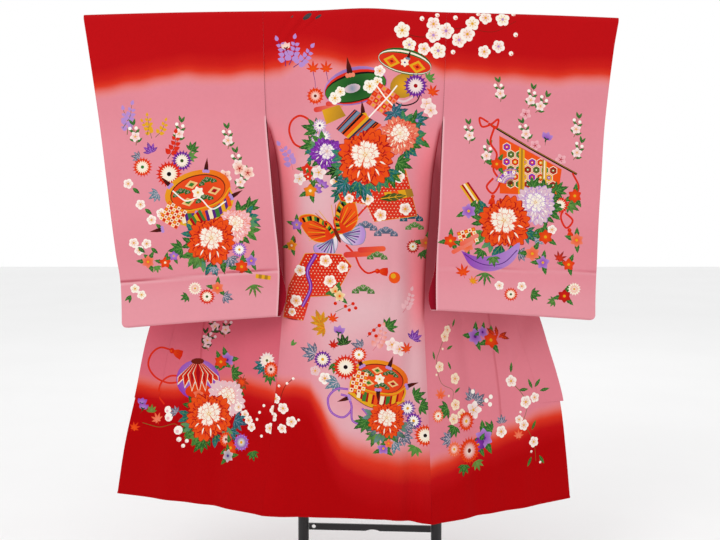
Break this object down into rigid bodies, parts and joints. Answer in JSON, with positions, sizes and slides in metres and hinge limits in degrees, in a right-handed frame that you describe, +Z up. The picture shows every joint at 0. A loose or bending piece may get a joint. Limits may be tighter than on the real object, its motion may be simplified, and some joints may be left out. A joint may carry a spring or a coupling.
{
  "type": "baby ceremonial kimono on display stand",
  "caption": "Baby's long-sleeved ceremonial kimono hung open over the rod of a black two-post display stand, seen from its back, with shaded ground and flower print.",
  "frame": {"origin": "centre of the stand's footprint on the floor, midway between the sleeve ends", "axes": "+Z up, +X to the viewer's right, the garment's back faces -Y"},
  "size_m": [0.978, 0.4, 1.1221],
  "materials": {
    "silk": "fine crepe silk with a soft sheen, ground shaded from red to pink and back to red, flower print, pale lining",
    "black_steel": "smooth black semi-gloss paint",
    "rubber": "matt black moulded end caps"
  },
  "bodies": {
    "root": {"back_panel": "silk", "front_left": "silk", "front_right": "silk", "okumi_left": "silk", "okumi_right": "silk", "collar": "silk", "sleeve_left_back": "silk", "sleeve_left_front": "silk", "sleeve_right_back": "silk", "sleeve_right_front": "silk", "tie_left": "silk", "tie_right": "silk", "rod": "black_steel", "arm": "black_steel", "post_left": "black_steel", "post_right": "black_steel", "top_bar": "black_steel", "stay_bar": "black_steel", "foot_left": "black_steel", "foot_right": "black_steel", "cap_left_back": "rubber", "cap_left_front": "rubber", "cap_right_back": "rubber", "cap_right_front": "rubber"}
  },
  "joints": []
}
